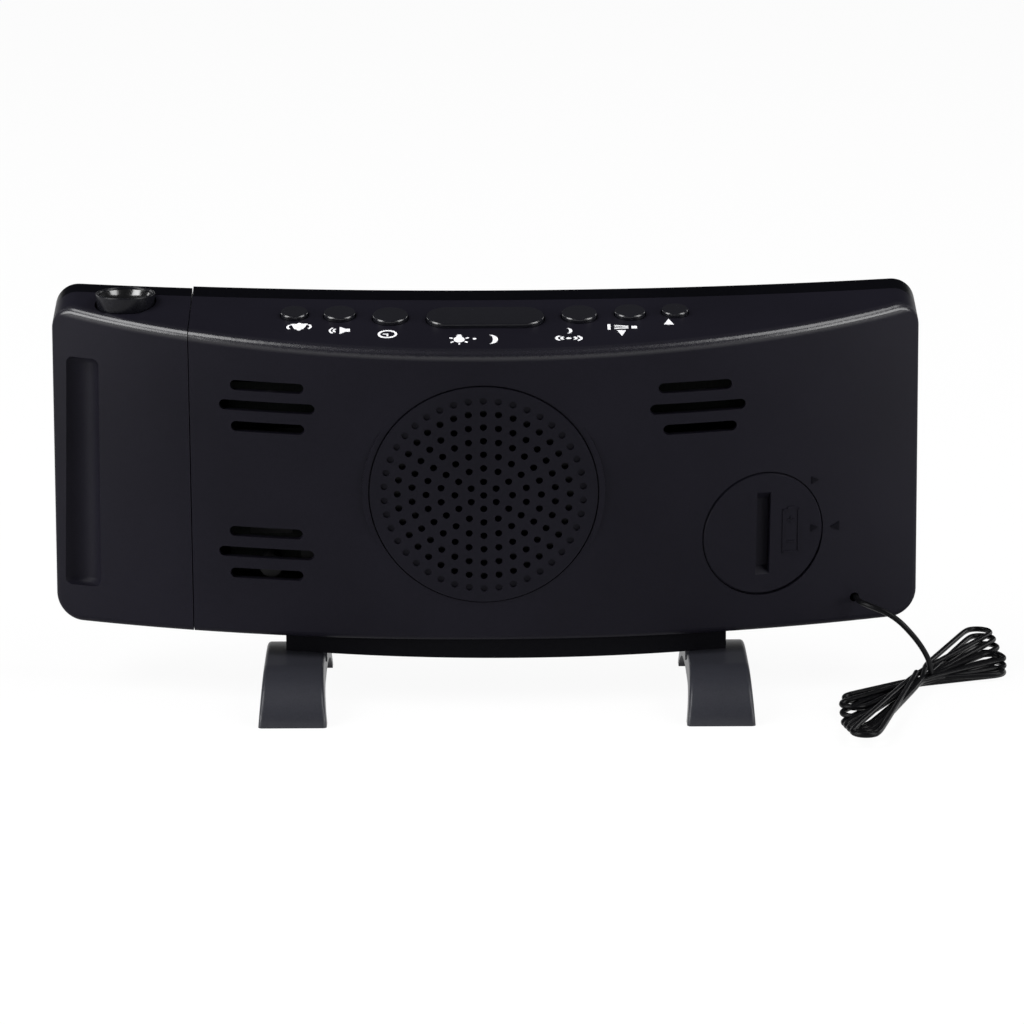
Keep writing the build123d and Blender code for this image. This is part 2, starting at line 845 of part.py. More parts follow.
pod_cavity = (
    (pod_inner & pod_hollow)
    - groove_cutter(groove_wall)
    - upright_cylinder(optic_x, optic_y, ring_boss_radius, boss_low, loft_top_z)
)
ring_seat = upright_cylinder(optic_x, optic_y, ring_seat_radius, ring_base_z - 0.1, loft_top_z)
sleeve_hole = upright_cylinder(
    optic_x, optic_y, sleeve_radius + running_clearance, lip_top, ring_base_z + 1
)
lip_pocket = upright_cylinder(optic_x, optic_y, lip_radius + 0.25, sleeve_low - 0.5, boss_low)

with BuildPart() as pod_shell:
    add(pod_outer)
    add(pod_side, mode=Mode.INTERSECT)
    add(rear_edge, mode=Mode.SUBTRACT)
    add(pod_cavity, mode=Mode.SUBTRACT)
    add(ring_seat, mode=Mode.SUBTRACT)
    add(sleeve_hole, mode=Mode.SUBTRACT)
    add(lip_pocket, mode=Mode.SUBTRACT)
    add(groove_cutter(0), mode=Mode.SUBTRACT)
    with BuildSketch(Plane.YZ.offset(seam_x)):
        with Locations((pivot_y, pivot_z)):
            Circle(pivot_radius)
    extrude(amount=6, mode=Mode.SUBTRACT)
pod_shell.part.label = "pod_shell"
export_step(pod_shell.part, "parts/pod_shell.step")

with BuildPart() as pod_front:
    add(pod_outer)
    add(pod_side, mode=Mode.INTERSECT)
    add(frame_zone, mode=Mode.INTERSECT)
    add(pod_cavity, mode=Mode.SUBTRACT)
    add(ring_seat, mode=Mode.SUBTRACT)
    add(sleeve_hole, mode=Mode.SUBTRACT)
    add(lip_pocket, mode=Mode.SUBTRACT)
    with BuildSketch(Plane.XZ.offset(-lamp_front_y)):
        with Locations(*[(optic_x, post_z) for post_z in lamp_posts]):
            Circle(post_radius)
    extrude(amount=2.5)
pod_front.part.label = "pod_front"
export_step(pod_front.part, "parts/pod_front.step")

# --- pivot: a hollow spindle, a friction washer and a snap ring ---
washer_face = body_wall_face - 0.1
washer_thickness = 0.8
ring_thickness = 0.8
groove_floor = 4.0
spindle_end = washer_face - washer_thickness - ring_thickness - 1.6
spindle_flange = 6.0

with BuildPart() as pivot_spindle:
    with BuildSketch(Plane.YZ.offset(spindle_end)):
        with Locations((pivot_y, pivot_z)):
            Circle(pivot_radius)
    extrude(amount=pod_wall_face - spindle_end)
    with BuildSketch(Plane.YZ.offset(pod_wall_face)):
        with Locations((pivot_y, pivot_z)):
            Circle(spindle_flange)
    extrude(amount=1.2)
    with BuildSketch(Plane.YZ.offset(washer_face - washer_thickness - ring_thickness)):
        with Locations((pivot_y, pivot_z)):
            Circle(pivot_radius + 1)
            Circle(groove_floor, mode=Mode.SUBTRACT)
    extrude(amount=ring_thickness, mode=Mode.SUBTRACT)
    with BuildSketch(Plane.YZ.offset(spindle_end - 1)):
        with Locations((pivot_y, pivot_z)):
            Circle(pivot_bore)
    extrude(amount=20, mode=Mode.SUBTRACT)
pivot_spindle.part.label = "pivot_spindle"
export_step(pivot_spindle.part, "parts/pivot_spindle.step")

with BuildPart() as friction_washer:
    with BuildSketch(Plane.YZ.offset(washer_face - washer_thickness)):
        with Locations((pivot_y, pivot_z)):
            Circle(washer_radius)
            Circle(pivot_radius, mode=Mode.SUBTRACT)
    extrude(amount=washer_thickness)
friction_washer.part.label = "friction_washer"
export_step(friction_washer.part, "parts/friction_washer.step")

with BuildPart() as snap_ring:
    with BuildSketch(Plane.YZ.offset(washer_face - washer_thickness - ring_thickness)):
        with Locations((pivot_y, pivot_z)):
            Circle(spindle_flange + 0.4)
            Circle(groove_floor, mode=Mode.SUBTRACT)
        with Locations((pivot_y, pivot_z + 6)):
            Rectangle(3.0, 8, mode=Mode.SUBTRACT)
    extrude(amount=ring_thickness)
snap_ring.part.label = "snap_ring"
export_step(snap_ring.part, "parts/snap_ring.step")

# --- projector optics, on one upright axis ---
optic_section = Plane((optic_x, optic_y, 0), x_dir=(1, 0, 0), z_dir=(0, -1, 0))
optic_axis = Axis((optic_x, optic_y, 0), (0, 0, 1))
ring_bore = barrel_radius + 0.08
ring_shelf_z = ring_top_z - 2.6
head_low = ring_shelf_z + running_clearance
glass_seat_z = head_low + 0.6
glass_edge_z = glass_seat_z + 0.7
barrel_low = ring_base_z - 11.5
barrel_bore = barrel_radius - 1.0

with BuildPart() as focus_ring:
    with BuildSketch(optic_section):
        with BuildLine():
            Polyline(
                (ring_bore, sleeve_low),
                (sleeve_radius, sleeve_low),
                (lip_radius, lip_top - 0.9),
                (lip_radius, lip_top),
                (sleeve_radius, lip_top),
                (sleeve_radius, ring_base_z),
                (ring_radius - 0.3, ring_base_z),
                (ring_radius, ring_top_z - 0.15),
                (ring_radius - 0.15, ring_top_z),
                (ring_radius - 0.5, ring_top_z),
                (head_radius + 0.1, ring_top_z - 0.3),
                (head_radius + 0.1, ring_shelf_z),
                (ring_bore, ring_shelf_z),
                close=True,
            )
        make_face()
    revolve(axis=optic_axis)
focus_ring.part.label = "focus_ring"
export_step(focus_ring.part, "parts/focus_ring.step")

with BuildPart() as lens_barrel:
    with BuildSketch(optic_section):
        with BuildLine():
            Polyline(
                (barrel_bore, barrel_low),
                (barrel_radius, barrel_low),
                (barrel_radius, head_low),
                (head_radius, head_low),
                (head_radius, glass_edge_z),
                (glass_radius, glass_edge_z),
                (glass_radius, glass_seat_z),
                (barrel_bore, glass_seat_z),
                close=True,
            )
        make_face()
    revolve(axis=optic_axis)
lens_barrel.part.label = "lens_barrel"
export_step(lens_barrel.part, "parts/lens_barrel.step")

with BuildPart() as projection_lens:
    with BuildSketch(optic_section):
        with BuildLine():
            face = TangentArc((0, glass_edge_z + 1.2), (glass_radius, glass_edge_z), tangent=(1, 0))
            Polyline(face @ 1, (glass_radius, glass_seat_z), (0, glass_seat_z), face @ 0)
        make_face()
    revolve(axis=optic_axis)
projection_lens.part.label = "projection_lens"
export_step(projection_lens.part, "parts/projection_lens.step")

with BuildPart() as lamp_house:
    with BuildSketch(Plane.XY.offset(lamp_low)):
        with Locations((optic_x, optic_y)):
            Rectangle(lamp_size, lamp_size)
            Rectangle(lamp_bore, lamp_bore, mode=Mode.SUBTRACT)
    extrude(amount=lamp_high - lamp_low)
lamp_house.part.label = "lamp_house"
export_step(lamp_house.part, "parts/lamp_house.step")

with BuildPart() as image_panel:
    with BuildSketch(Plane.XY.offset(lamp_high - 3.0)):
        with Locations((optic_x, optic_y)):
            Rectangle(lamp_bore, lamp_bore)
    extrude(amount=1.0)
image_panel.part.label = "image_panel"
export_step(image_panel.part, "parts/image_panel.step")

condenser_z = lamp_low + 9.5
with BuildPart() as condenser_lens:
    with BuildSketch(optic_section):
        with BuildLine():
            face = TangentArc((0, condenser_z + 2.4), (lamp_bore / 2, condenser_z + 0.8), tangent=(1, 0))
            Polyline(face @ 1, (lamp_bore / 2, condenser_z), (0, condenser_z), face @ 0)
        make_face()
    revolve(axis=optic_axis)
condenser_lens.part.label = "condenser_lens"
export_step(condenser_lens.part, "parts/condenser_lens.step")

with BuildPart() as lamp_board:
    with BuildSketch(Plane.XY.offset(lamp_low - board_thickness)):
        with Locations((optic_x, optic_y)):
            Rectangle(lamp_size, lamp_size)
    extrude(amount=board_thickness)
lamp_board.part.label = "lamp_board"
export_step(lamp_board.part, "parts/lamp_board.step")

with BuildPart() as lamp_led:
    with BuildSketch(Plane.XY.offset(lamp_low)):
        with Locations((optic_x, optic_y)):
            Circle(2.5)
    extrude(amount=3.6)
    fillet(lamp_led.edges().group_by(Axis.Z)[-1], radius=2.2)
lamp_led.part.label = "lamp_led"
export_step(lamp_led.part, "parts/lamp_led.step")

# --- stand: two arched feet and a curved rail under the body ---
foot_half = foot_width / 2
foot_flare = 0.45
foot_edge = 0.9
inner_z = crown_z - foot_thickness
front_reach = crown_front_y - front_toe_y
seat_depth = 2.0


def quarter_arc(middle_y, reach, height, start):
    return EllipticalCenterArc((middle_y, 0), reach, height, start_angle=start, arc_size=90)


def arched_foot(centre_x, side, screw_spot):
    seat_inner = centre_x - side * foot_half
    seat_outer = stand_x + side * rail_length / 2
    with BuildPart() as arch:
        with BuildSketch(Plane.YZ.offset(centre_x)):
            with BuildLine():
                rear = quarter_arc(crown_rear_y, toe_y - crown_rear_y, crown_z, 0)
                front = quarter_arc(crown_front_y, front_reach, crown_z, 90)
                rear_in = quarter_arc(crown_rear_y, toe_y - crown_rear_y - foot_thickness, inner_z, 0)
                front_in = quarter_arc(crown_front_y, front_reach - foot_thickness, inner_z, 90)
                Line(rear @ 1, front @ 0)
                Line(front @ 1, front_in @ 1)
                Line(front_in @ 0, rear_in @ 1)
                Line(rear_in @ 0, rear @ 0)
            make_face()
        extrude(amount=foot_half + foot_flare, both=True)
        with BuildSketch(Plane.XZ.offset(-2 * toe_y)):
            with Locations((centre_x, crown_z / 2)):
                Trapezoid(
                    foot_width + 2 * foot_flare,
                    crown_z,
                    math.degrees(math.atan(crown_z / (2 * foot_flare))),
                )
        extrude(amount=4 * toe_y, mode=Mode.INTERSECT)
        fillet(arch.faces().filter_by(outer_skin).edges().filter_by(side_edge), radius=foot_edge)
        # seat that fills the fall of the arch under the rail
        with BuildSketch(Plane.XY.offset(crown_z - seat_depth)):
            with Locations(((seat_inner + seat_outer) / 2, (rail_front_y + crown_front_y) / 2)):
                Rectangle(abs(seat_outer - seat_inner), crown_front_y - rail_front_y)
        extrude(amount=seat_depth)
        with BuildSketch(Plane.XY):
            with Locations(screw_spot):
                Circle(stand_hole)
        extrude(amount=crown_z, mode=Mode.SUBTRACT)
        with BuildSketch(Plane.XY):
            with Locations(screw_spot):
                Circle(stand_head)
        extrude(amount=inner_z, mode=Mode.SUBTRACT)
        with BuildSketch(Plane.XY.offset(inner_z)):
            with Locations(screw_spot):
                Circle(stand_head)
        extrude(amount=stand_head_height, mode=Mode.SUBTRACT, taper=38)
    return arch.part


def outer_skin(face):
    return face.normal_at().Z > 0.3


def side_edge(edge):
    return abs((edge % 0.5).X) < 0.2


for name, side, screw_spot in (("foot_right", 1, stand_spots[0]), ("foot_left", -1, stand_spots[1])):
    foot_part = arched_foot(stand_x + side * foot_spacing / 2, side, screw_spot)
    foot_part.label = name
    export_step(foot_part, f"parts/{name}.step")

rail_end = rail_length / 2
rail_end_y = rail_y - rail_radius + math.sqrt(rail_radius**2 - rail_end**2)
with BuildPart() as stand_rail:
    with BuildSketch(Plane.XY.offset(crown_z)):
        with BuildLine():
            rear_arc = ThreePointArc(
                (stand_x - rail_end, rail_end_y), (stand_x, rail_y), (stand_x + rail_end, rail_end_y)
            )
            Polyline(
                rear_arc @ 1,
                (stand_x + rail_end, rail_front_y),
                (stand_x - rail_end, rail_front_y),
                rear_arc @ 0,
            )
        make_face()
        with Locations(*stand_spots):
            Circle(stand_hole, mode=Mode.SUBTRACT)
    extrude(amount=base_z - crown_z)
    with BuildSketch(Plane.XY.offset(crown_z)):
        with Locations(*stand_spots[2:]):
            Circle(stand_head)
    extrude(amount=stand_head_height, mode=Mode.SUBTRACT, taper=38)
stand_rail.part.label = "stand_rail"
export_step(stand_rail.part, "parts/stand_rail.step")

# --- screws ---
screw_tip_z = base_z + 4.5
cross_slot = (2.6, 0.6)


def countersunk_screws(spots, head_z):
    with BuildPart() as screws:
        with BuildSketch(Plane.XY.offset(head_z)):
            with Locations(*spots):
                Circle(stand_head - 0.03)
        extrude(amount=stand_head_height, taper=38)
        with BuildSketch(Plane.XY.offset(head_z)):
            with Locations(*spots):
                Circle(stand_shank - 0.05)
        extrude(amount=screw_tip_z - head_z)
        with BuildSketch(Plane.XY.offset(head_z)):
            with Locations(*spots):
                Rectangle(*cross_slot)
                Rectangle(*cross_slot, rotation=90)
        extrude(amount=0.9, mode=Mode.SUBTRACT)
    return screws.part


foot_screws = countersunk_screws(stand_spots[:2], inner_z)
foot_screws.label = "foot_screws"
export_step(foot_screws, "parts/foot_screws.step")

rail_screws = countersunk_screws(stand_spots[2:], crown_z)
rail_screws.label = "rail_screws"
export_step(rail_screws, "parts/rail_screws.step")

small_head_height = 1.1
small_screw_length = 5.0
with BuildPart() as board_screws:
    display_rear_y = display_board_y + board_thickness
    with BuildSketch(Plane.XZ.offset(-display_rear_y)):
        with Locations(*display_posts):
            Circle(small_head)
    extrude(amount=-small_head_height)
    with BuildSketch(Plane.XZ.offset(-display_rear_y)):
        with Locations(*display_posts):
            Circle(small_shank)
    extrude(amount=small_screw_length)
    with BuildSketch(Plane.XZ.offset(-main_board_y)):
        with Locations(*main_posts):
            Circle(small_head)
    extrude(amount=small_head_height)
    with BuildSketch(Plane.XZ.offset(-main_board_y)):
        with Locations(*main_posts):
            Circle(small_shank)
    extrude(amount=-small_screw_length)
    key_board_low = key_board_height - board_thickness
    with BuildSketch(deck.offset(key_board_low)):
        with Locations(*key_posts):
            Circle(small_head)
    extrude(amount=-small_head_height)
    with BuildSketch(deck.offset(key_board_low)):
        with Locations(*key_posts):
            Circle(small_shank)
    extrude(amount=small_screw_length)
board_screws.part.label = "board_screws"
export_step(board_screws.part, "parts/board_screws.step")

# --- power socket in the underside ---
socket_floor = base_z + wall
with BuildPart() as power_socket:
    with BuildSketch(Plane.XY.offset(socket_floor)):
        with Locations((socket_x, socket_y)):
            Rectangle(9.0, 8.0)
    extrude(amount=9.8)
    with BuildSketch(Plane.XY.offset(base_z + 0.2)):
        with Locations((socket_x, socket_y)):
            Circle(socket_radius)
    extrude(amount=wall)
    with BuildSketch(Plane.XY.offset(base_z)):
        with Locations((socket_x, socket_y)):
            Circle(socket_radius - 0.7)
            Circle(0.65, mode=Mode.SUBTRACT)
    extrude(amount=9.5, mode=Mode.SUBTRACT)
power_socket.part.label = "power_socket"
export_step(power_socket.part, "parts/power_socket.step")

# --- wire aerial: the lead down to the floor and its tied hank ---
lead_points = [
    (-80.9, -8.0, 20.7),
    (-81.0, 0.4, 20.7),
    (-84.0, 3.6, 20.2),
    (-87.4, 4.8, 19.1),
    (-90.2, 4.8, 17.2),
    (-92.8, 3.9, 14.3),
    (-95.2, 2.2, 11.0),
    (-97.2, 0.3, 7.3),
    (-97.9, -1.4, 4.2),
    (-97.3, -2.6, 1.7),
]


def corner_radii(points):
    corners = [Vector(*point) for point in points]
    radii = []
    for before, here, after in zip(corners, corners[1:], corners[2:]):
        run = min((here - before).length, (after - here).length)
        turn = math.radians((here - before).get_angle(after - here))
        radii.append(0.45 * run / math.tan(turn / 2))
    return radii


lead_radii = corner_radii(lead_points)
print("lead radii in diameters", [round(radius / (2 * cord_radius), 1) for radius in lead_radii])
with BuildPart() as antenna_lead:
    with BuildLine():
        lead_path = FilletPolyline(*lead_points, radius=lead_radii)
    with BuildSketch(Plane(lead_path @ 0, z_dir=lead_path % 0)):
        Circle(cord_radius)
    sweep()
tube_volume = math.pi * cord_radius**2 * lead_path.length
print("lead volume", round(antenna_lead.part.volume, 3), "section times length", round(tube_volume, 3))
antenna_lead.part.label = "antenna_lead"
export_step(antenna_lead.part, "parts/antenna_lead.step")

hank_lobes = [
    [(-80.4, 35.6, 3.6), (-82.4, 20.0, 5.8), (-83.5, 8.5, 4.6), (-95.4, -1.8, 3.6)],
    [(-114.0, -42.2, 3.4), (-112.2, -27.0, 5.2), (-110.8, -11.4, 4.8), (-95.4, -1.8, 3.6)],
]
hank_height = 3.4
with BuildPart() as antenna_hank:
    for lobe in hank_lobes:
        with BuildSketch(Plane.XY):
            for lobe_x, lobe_y, lobe_radius in lobe:
                with Locations((lobe_x, lobe_y)):
                    Circle(lobe_radius)
            make_hull()
        extrude(amount=hank_height)
antenna_hank.part.label = "antenna_hank"
export_step(antenna_hank.part, "parts/antenna_hank.step")
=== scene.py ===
import json
import math

import bmesh
import bpy
from mathutils import Matrix, Vector

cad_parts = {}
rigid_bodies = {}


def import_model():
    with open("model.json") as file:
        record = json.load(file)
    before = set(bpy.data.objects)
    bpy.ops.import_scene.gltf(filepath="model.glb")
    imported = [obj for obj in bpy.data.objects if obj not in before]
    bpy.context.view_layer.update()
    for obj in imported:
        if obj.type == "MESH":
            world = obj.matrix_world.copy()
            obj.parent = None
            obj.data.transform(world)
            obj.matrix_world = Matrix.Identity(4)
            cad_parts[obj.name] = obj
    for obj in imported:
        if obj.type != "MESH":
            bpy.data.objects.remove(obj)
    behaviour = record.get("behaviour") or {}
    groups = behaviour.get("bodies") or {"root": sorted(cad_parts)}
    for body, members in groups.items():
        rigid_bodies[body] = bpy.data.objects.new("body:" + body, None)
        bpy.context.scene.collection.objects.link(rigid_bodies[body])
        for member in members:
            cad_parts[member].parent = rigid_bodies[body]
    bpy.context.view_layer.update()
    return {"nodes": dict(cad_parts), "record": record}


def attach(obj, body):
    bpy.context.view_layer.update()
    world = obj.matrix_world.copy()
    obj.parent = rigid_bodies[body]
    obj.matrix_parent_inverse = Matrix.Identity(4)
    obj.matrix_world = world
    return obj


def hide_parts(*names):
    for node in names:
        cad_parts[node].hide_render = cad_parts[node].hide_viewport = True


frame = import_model()
mm = 0.001
micron = 0.001 * mm
fullTurn = 2 * math.pi
print("frame loaded:", len(frame["nodes"]), "nodes")


# a socket that takes part in Python expressions
class Field:
    def __init__(self, shader, socket):
        self.shader = shader
        self.socket = socket

    def maths(self, operation, other=None, swapped=False):
        values = [self] if other is None else [self, other]
        if swapped:
            values.reverse()
        return self.shader.add("ShaderNodeMath", {"operation": operation}, dict(enumerate(values)))

    def __add__(self, other):
        return self.maths("ADD", other)

    __radd__ = __add__

    def __sub__(self, other):
        return self.maths("SUBTRACT", other)

    def __rsub__(self, other):
        return self.maths("SUBTRACT", other, True)

    def __mul__(self, other):
        return self.maths("MULTIPLY", other)

    __rmul__ = __mul__

    def clamped(self):
        return self.shader.add("ShaderNodeClamp", {}, {0: self})

    def between(self, low, high):
        limits = {0: self, 1: low, 2: high}
        return self.shader.add("ShaderNodeMapRange", {"interpolation_type": "SMOOTHSTEP"}, limits)


class Shader:
    def __init__(self, owner):
        owner.use_nodes = True
        self.tree = owner.node_tree
        self.surface = self.tree.nodes.get("Principled BSDF")

    def add(self, kind, settings=None, inputs=None, output=0):
        node = self.tree.nodes.new(kind)
        for key, value in (settings or {}).items():
            if key == "stops":
                for stop, (place, colour) in zip(node.color_ramp.elements, value):
                    stop.position = place
                    stop.color = (*colour, 1)
            else:
                setattr(node, key, value)
        for key, value in (inputs or {}).items():
            self.feed(node.inputs[key], value)
        return Field(self, node.outputs[output])

    def feed(self, socket, value):
        if isinstance(value, Field):
            self.tree.links.new(value.socket, socket)
        elif socket.type == "RGBA" and len(value) == 3:
            socket.default_value = (*value, 1)
        else:
            socket.default_value = value

    def set(self, **values):
        for key, value in values.items():
            self.feed(self.surface.inputs[key.replace("_", " ")], value)

    def place(self):
        return self.add("ShaderNodeTexCoord", output="Object")

    def noise(self, scale, detail=2.0, roughness=0.5):
        values = {"Vector": self.place(), "Scale": scale, "Detail": detail, "Roughness": roughness}
        return self.add("ShaderNodeTexNoise", {}, values)

    def blend(self, amount, first, second):
        return self.add("ShaderNodeMix", {"data_type": "RGBA"}, {0: amount, 6: first, 7: second}, 2)

    def bump(self, height, distance):
        return self.add("ShaderNodeBump", {}, {"Height": height, "Distance": distance, "Strength": 1.0})


# the body's surfaces, in millimetres: a front round an upright axis, a deck that falls away from that
# axis and a back whose curve changes from lowArc at lowZ to creaseArc at creaseZ
frontRadius = 366.0
frontAxisY = -377.5
deckTop = 87.6
deckSlope = math.tan(math.radians(12.5))
lowZ = 15.0
lowArc = (11.6, 246.0)  # Y at the middle, radius
creaseZ = 82.0
creaseArc = (19.1, 157.0)

# finishes: colour, roughness, specular level, size and depth of the grain in micrometres
plasticFinishes = {
    "case": dict(colour=(0.0060, 0.0056, 0.0088), roughness=0.44, specular=0.05, grain=280, depth=10),
    "grille": dict(colour=(0.0056, 0.0053, 0.0082), roughness=0.46, specular=0.05, grain=280, depth=10),
    "front_trim": dict(colour=(0.0016, 0.0016, 0.0024), roughness=0.30, specular=0.02, grain=1200, depth=2),
    "reflector": dict(colour=(0.0100, 0.0100, 0.0100), roughness=0.55, specular=0.30, grain=400, depth=10),
    "components": dict(colour=(0.0080, 0.0080, 0.0085), roughness=0.55, specular=0.25, grain=400, depth=8),
    "keys": dict(colour=(0.0050, 0.0050, 0.0070), roughness=0.20, specular=0.62, grain=300, depth=4),
    "cone": dict(colour=(0.0100, 0.0100, 0.0105), roughness=0.85, specular=0.15, grain=350, depth=60),
    "ring": dict(colour=(0.0042, 0.0042, 0.0058), roughness=0.26, specular=0.16, grain=900, depth=2),
    "barrel": dict(colour=(0.0020, 0.0020, 0.0024), roughness=0.20, specular=0.90, grain=400, depth=4),
    "lamp": dict(colour=(0.0120, 0.0120, 0.0120), roughness=0.50, specular=0.30, grain=400, depth=8),
    "pivot": dict(colour=(0.0200, 0.0200, 0.0200), roughness=0.45, specular=0.35, grain=400, depth=8),
    "stand": dict(colour=(0.0165, 0.0170, 0.0215), roughness=0.36, specular=0.26, grain=400, depth=12),
    "cord": dict(colour=(0.0026, 0.0026, 0.0031), roughness=0.32, specular=0.08, grain=600, depth=12),
    "magnet": dict(colour=(0.0300, 0.0300, 0.0320), roughness=0.60, specular=0.40, grain=500, depth=20),
    "speaker_metal": dict(colour=(0.006, 0.006, 0.0064), roughness=0.55, specular=0.25, grain=400, depth=10),
    # a darker copy of the stand plastic for the rail: painted shade, standing in for the shadow under the
    # body
    "rail": dict(colour=(0.0026, 0.0026, 0.0036), roughness=0.50, specular=0.03, grain=400, depth=12),
    "mark": dict(colour=(0.0034, 0.0033, 0.0048), roughness=0.60, specular=0.02, grain=280, depth=10),
}
metalFinishes = {
    "cell": dict(colour=(0.60, 0.60, 0.60), roughness=0.30),
    "contact": dict(colour=(0.66, 0.64, 0.58), roughness=0.28),
    "steel": dict(colour=(0.48, 0.48, 0.49), roughness=0.34),
}
clearFinishes = {
    "display_window": dict(colour=(0.010, 0.006, 0.007), roughness=0.05, alpha=0.72, coat=0.3),
    "optics": dict(colour=(0.0020, 0.0022, 0.0032), roughness=0.02, alpha=0.80, coat=1.0),
    "led": dict(colour=(0.55, 0.10, 0.07), roughness=0.15, alpha=0.85, coat=0.0),
}
# how much the roughness varies with the fine grain and with broad patches, and how many patches or
# brushed lines there are to a metre
plasticWear = dict(fine=0.10, broad=0.08, patches=24.0, lighter=1.25, darker=0.85)
metalWear = dict(fine=0.08, broad=0.20, patches=160.0, lines=2600.0, dull=0.78, depth=4)
paintedShadeNodes = {"stand_rail": "rail"}  # a node given a darker copy of its slot's finish: painted shade, for the rail that lies in the shadow under the body
finishes = {}


def newFinish(name):
    finishes[name] = bpy.data.materials.new(name)
    return Shader(finishes[name])


def tinted(colour, share):
    return tuple(channel * share for channel in colour)


def wornRoughness(fine, broad, wear, roughness):
    middle = roughness - (wear["fine"] + wear["broad"]) / 2
    return (fine * wear["fine"] + broad * wear["broad"] + middle).clamped()


def plastic(name, colour, roughness, specular, grain, depth):
    shader = newFinish(name)
    fine = shader.noise(1 / (grain * micron), 3.0, 0.6)
    broad = shader.noise(plasticWear["patches"])
    patches = (fine * 0.5 + broad * 0.5).between(0.3, 0.7)
    darker = tinted(colour, plasticWear["darker"])
    lighter = tinted(colour, plasticWear["lighter"])
    shader.set(
        Base_Color=shader.blend(patches, darker, lighter),
        Roughness=wornRoughness(fine, broad, plasticWear, roughness),
        Specular_IOR_Level=specular,
        Normal=shader.bump(fine, depth * micron),
    )


def metal(name, colour, roughness):
    shader = newFinish(name)
    fine = shader.noise(metalWear["lines"], 3.0)
    broad = shader.noise(metalWear["patches"])
    shader.set(
        Base_Color=shader.blend(broad.between(0.35, 0.65), colour, tinted(colour, metalWear["dull"])),
        Metallic=1.0,
        Roughness=wornRoughness(fine, broad, metalWear, roughness),
        Normal=shader.bump(fine, metalWear["depth"] * micron),
    )


def clearPiece(name, colour, roughness, alpha, coat):
    shader = newFinish(name)
    smudge = shader.noise(90.0, 3.0)
    shader.set(
        Base_Color=shader.blend(smudge.between(0.3, 0.7), colour, tinted(colour, 0.9)),
        Roughness=(smudge * 0.05 + roughness).clamped(),
        Alpha=alpha,
        Coat_Weight=coat,
    )


def circuitFinish():
    shader = newFinish("circuit")
    layout = {"Vector": shader.place(), "Scale": 420.0, "Mortar Size": 0.06}
    tracks = shader.add("ShaderNodeTexBrick", {"offset": 0.35}, layout, "Fac")
    shader.set(
        Base_Color=shader.blend(tracks, (0.0012, 0.0030, 0.0020), (0.0020, 0.0050, 0.0032)),
        Roughness=0.55,
        Specular_IOR_Level=0.15,
        Normal=shader.bump(tracks, 20 * micron),
    )


def digitFinishes():
    unlit = newFinish("digits")
    speckle = unlit.noise(1500.0)
    unlit.set(Base_Color=unlit.blend(speckle, (0.05, 0.010, 0.008), (0.08, 0.014, 0.010)), Roughness=0.35)
    lit = newFinish("litDigit")
    spread = lit.noise(600.0).between(0.3, 0.7)
    glow = lit.blend(spread, (1.0, 0.06, 0.03), (0.9, 0.04, 0.02))
    lit.set(Base_Color=(0.4, 0.03, 0.02), Roughness=0.4, Emission_Color=glow, Emission_Strength=1.6)


def printFinish():
    shader = newFinish("whitePrint")
    worn = shader.noise(1400.0, 4.0).between(0.35, 0.75)
    shader.set(Base_Color=shader.blend(worn, (0.80, 0.80, 0.82), (0.62, 0.62, 0.65)), Roughness=0.5)


# the moulded edge between deck and back is rubbed smooth, so it has a thin gloss of its own
creaseGloss = dict(weight=0.80, full=1.30, none=2.30, roughness=0.26)


def arcField(x, middle, radius):
    return (radius**2 - x * x).maths("SQRT") + (middle - radius)


def glossCrease(name):
    shader = Shader(finishes[name])
    axes = range(3)
    x, y, z = (shader.add("ShaderNodeSeparateXYZ", {}, {0: shader.place()}, axis) * (1 / mm) for axis in axes)
    low = arcField(x, *lowArc)
    high = arcField(x, *creaseArc)
    behind = low + (z - lowZ) * (1 / (creaseZ - lowZ)) * (high - low) - y
    fromAxis = (x * x + (y - frontAxisY) * (y - frontAxisY)).maths("SQRT")
    below = deckTop - (fromAxis - frontRadius) * deckSlope - z
    rubbed = 1 - (behind + below).between(creaseGloss["full"], creaseGloss["none"])
    shader.set(Coat_Weight=rubbed * creaseGloss["weight"], Coat_Roughness=creaseGloss["roughness"])


def finishNodes():
    for entry in frame["record"]["subparts"]:
        finish = paintedShadeNodes.get(entry["node"], entry["material_slot"])
        materials = bpy.data.objects[entry["node"]].data.materials
        materials.clear()
        materials.append(finishes[finish])


for makeFinish, table in ((plastic, plasticFinishes), (metal, metalFinishes), (clearPiece, clearFinishes)):
    for name, values in table.items():
        makeFinish(name, **values)
circuitFinish()
digitFinishes()
printFinish()
glossCrease("case")
finishNodes()
print("finishes:", len(finishes))


def arcY(x, middle, radius):
    return middle - radius + math.sqrt(radius**2 - x**2)


def backY(x, z):
    low = arcY(x, *lowArc)
    high = arcY(x, *creaseArc)
    return low + (z - lowZ) / (creaseZ - lowZ) * (high - low)


def deckZ(x, y):
    return deckTop - (math.hypot(x, y - frontAxisY) - frontRadius) * deckSlope


def backNormal(x, z):
    step = 0.01
    turn = (backY(x + step, z) - backY(x - step, z)) / (2 * step)
    lean = (backY(x, z + step) - backY(x, z - step)) / (2 * step)
    return Vector((-turn, 1, -lean)).normalized()


def onDeck(x, y, height):
    return Vector((x, y, deckZ(x, y) + height))


def onBack(x, z, height):
    return Vector((x, backY(x, z), z)) + backNormal(x, z) * height


cover = dict(middle=(-60.35, 37.1), sunk=0.25)  # X and Z, depth of its face below the back


def onCover(x, z, height):
    normal = backNormal(*cover["middle"])
    middle = onBack(*cover["middle"], height - cover["sunk"])
    y = middle.y - (normal.x * (x - middle.x) + normal.z * (z - middle.z)) / normal.y
    return Vector((x, y, z))


